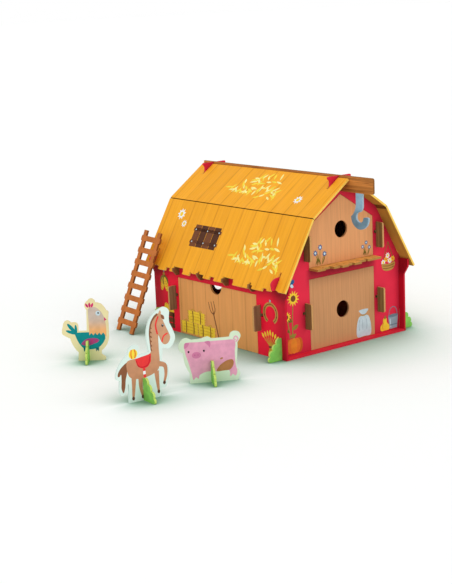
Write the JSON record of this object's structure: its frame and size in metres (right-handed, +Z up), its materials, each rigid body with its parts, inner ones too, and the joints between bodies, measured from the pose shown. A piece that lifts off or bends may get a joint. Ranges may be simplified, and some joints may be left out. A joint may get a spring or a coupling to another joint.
{
  "type": "cardboard toy farm",
  "caption": "Slot-together cardboard toy barn with fold-down doors, turn latches, loft, hoist hook, leaning ladder and stand-up farm animals on crossed stands.",
  "frame": {"origin": "middle of the barn's floor panel, on its underside", "axes": "+Z up, ridge along Y, the gable with the hoist hook facing -Y, the ladder and animals on the -X side"},
  "size_m": [0.5301, 0.3883, 0.2403],
  "materials": {
    "base_red": "matte",
    "wall_red": "matte",
    "gable_red": "matte",
    "roof_yellow": "matte",
    "loft_brown": "matte",
    "joist_brown": "matte",
    "beam_brown": "matte",
    "door_tan": "matte",
    "latch_brown": "matte",
    "ladder_brown": "matte",
    "hen_print": "matte",
    "horse_print": "matte",
    "pig_print": "matte",
    "bush_green": "matte"
  },
  "bodies": {
    "barn": {"floor_panel": "base_red", "left_wall": "wall_red", "right_wall": "wall_red", "front_gable": "gable_red", "rear_gable": "gable_red", "left_roof_upper": "roof_yellow", "left_roof_lower": "roof_yellow", "right_roof_upper": "roof_yellow", "right_roof_lower": "roof_yellow", "loft_floor": "loft_brown", "cross_joist_1": "joist_brown", "cross_joist_2": "joist_brown", "cross_joist_3": "joist_brown", "cross_joist_4": "joist_brown", "ridge_beam": "beam_brown"},
    "left_side_door": {"left_side_door": "door_tan"},
    "right_side_door": {"right_side_door": "door_tan"},
    "front_door": {"front_door": "door_tan"},
    "rear_door": {"rear_door": "door_tan"},
    "front_loft_door": {"front_loft_door": "door_tan"},
    "rear_loft_door": {"rear_loft_door": "door_tan"},
    "left_wall_front_latch": {"left_wall_front_latch": "latch_brown"},
    "left_wall_rear_latch": {"left_wall_rear_latch": "latch_brown"},
    "right_wall_front_latch": {"right_wall_front_latch": "latch_brown"},
    "right_wall_rear_latch": {"right_wall_rear_latch": "latch_brown"},
    "front_door_left_latch": {"front_door_left_latch": "latch_brown"},
    "front_door_right_latch": {"front_door_right_latch": "latch_brown"},
    "front_loft_left_latch": {"front_loft_left_latch": "latch_brown"},
    "front_loft_right_latch": {"front_loft_right_latch": "latch_brown"},
    "rear_door_left_latch": {"rear_door_left_latch": "latch_brown"},
    "rear_door_right_latch": {"rear_door_right_latch": "latch_brown"},
    "rear_loft_left_latch": {"rear_loft_left_latch": "latch_brown"},
    "rear_loft_right_latch": {"rear_loft_right_latch": "latch_brown"},
    "ladder": {"ladder": "ladder_brown"},
    "hen": {"hen_figure": "hen_print", "hen_stand": "bush_green"},
    "horse": {"horse_figure": "horse_print", "horse_stand": "bush_green"},
    "pig": {"pig_figure": "pig_print", "pig_stand": "bush_green"}
  },
  "joints": [
    {"name": "left_side_door_hinge", "type": "hinge", "parent": "barn", "child": "left_side_door", "pos_m": [-0.115, 0, 0.0004], "axis": [0, -1, 0], "range_deg": [0, 90]},
    {"name": "right_side_door_hinge", "type": "hinge", "parent": "barn", "child": "right_side_door", "pos_m": [0.115, 0, 0.0004], "axis": [0, 1, 0], "range_deg": [0, 90]},
    {"name": "front_door_hinge", "type": "hinge", "parent": "barn", "child": "front_door", "pos_m": [0, -0.1405, 0.0034], "axis": [1, 0, 0], "range_deg": [0, 90]},
    {"name": "front_loft_door_hinge", "type": "hinge", "parent": "barn", "child": "front_loft_door", "pos_m": [0, -0.1375, 0.1194], "axis": [-1, 0, 0], "range_deg": [0, 90]},
    {"name": "rear_door_hinge", "type": "hinge", "parent": "barn", "child": "rear_door", "pos_m": [0, 0.1405, 0.0034], "axis": [-1, 0, 0], "range_deg": [0, 90]},
    {"name": "rear_loft_door_hinge", "type": "hinge", "parent": "barn", "child": "rear_loft_door", "pos_m": [0, 0.1375, 0.1194], "axis": [1, 0, 0], "range_deg": [0, 90]},
    {"name": "left_wall_front_latch_hinge", "type": "hinge", "parent": "barn", "child": "left_wall_front_latch", "pos_m": [-0.115, -0.0975, 0.057], "axis": [-1, 0, 0], "range_deg": [-90, 90]},
    {"name": "front_door_left_latch_hinge", "type": "hinge", "parent": "barn", "child": "front_door_left_latch", "pos_m": [-0.0695, -0.1405, 0.0575], "axis": [0, 1, 0], "range_deg": [-90, 90]},
    {"name": "front_loft_left_latch_hinge", "type": "hinge", "parent": "barn", "child": "front_loft_left_latch", "pos_m": [-0.0688, -0.1405, 0.152], "axis": [0, 1, 0], "range_deg": [-90, 60]},
    {"name": "left_wall_rear_latch_hinge", "type": "hinge", "parent": "barn", "child": "left_wall_rear_latch", "pos_m": [-0.115, 0.0975, 0.057], "axis": [1, 0, 0], "range_deg": [-90, 90]},
    {"name": "rear_door_left_latch_hinge", "type": "hinge", "parent": "barn", "child": "rear_door_left_latch", "pos_m": [-0.0695, 0.1405, 0.0575], "axis": [0, 1, 0], "range_deg": [-90, 90]},
    {"name": "rear_loft_left_latch_hinge", "type": "hinge", "parent": "barn", "child": "rear_loft_left_latch", "pos_m": [-0.0688, 0.1405, 0.152], "axis": [0, 1, 0], "range_deg": [-90, 60]},
    {"name": "right_wall_front_latch_hinge", "type": "hinge", "parent": "barn", "child": "right_wall_front_latch", "pos_m": [0.115, -0.0975, 0.057], "axis": [-1, 0, 0], "range_deg": [-90, 90]},
    {"name": "front_door_right_latch_hinge", "type": "hinge", "parent": "barn", "child": "front_door_right_latch", "pos_m": [0.0695, -0.1405, 0.0575], "axis": [0, -1, 0], "range_deg": [-90, 90]},
    {"name": "front_loft_right_latch_hinge", "type": "hinge", "parent": "barn", "child": "front_loft_right_latch", "pos_m": [0.0688, -0.1405, 0.152], "axis": [0, -1, 0], "range_deg": [-90, 60]},
    {"name": "right_wall_rear_latch_hinge", "type": "hinge", "parent": "barn", "child": "right_wall_rear_latch", "pos_m": [0.115, 0.0975, 0.057], "axis": [1, 0, 0], "range_deg": [-90, 90]},
    {"name": "rear_door_right_latch_hinge", "type": "hinge", "parent": "barn", "child": "rear_door_right_latch", "pos_m": [0.0695, 0.1405, 0.0575], "axis": [0, -1, 0], "range_deg": [-90, 90]},
    {"name": "rear_loft_right_latch_hinge", "type": "hinge", "parent": "barn", "child": "rear_loft_right_latch", "pos_m": [0.0688, 0.1405, 0.152], "axis": [0, -1, 0], "range_deg": [-90, 60]},
    {"name": "ladder_lift", "type": "slide", "parent": "barn", "child": "ladder", "axis": [-0.5, 0, 0.866], "range_m": [0, 0.15]},
    {"name": "hen_lift", "type": "slide", "parent": "barn", "child": "hen", "axis": [0, 0, 1], "range_m": [0, 0.15]},
    {"name": "horse_lift", "type": "slide", "parent": "barn", "child": "horse", "axis": [0, 0, 1], "range_m": [0, 0.15]},
    {"name": "pig_lift", "type": "slide", "parent": "barn", "child": "pig", "axis": [0, 0, 1], "range_m": [0, 0.15]}
  ]
}
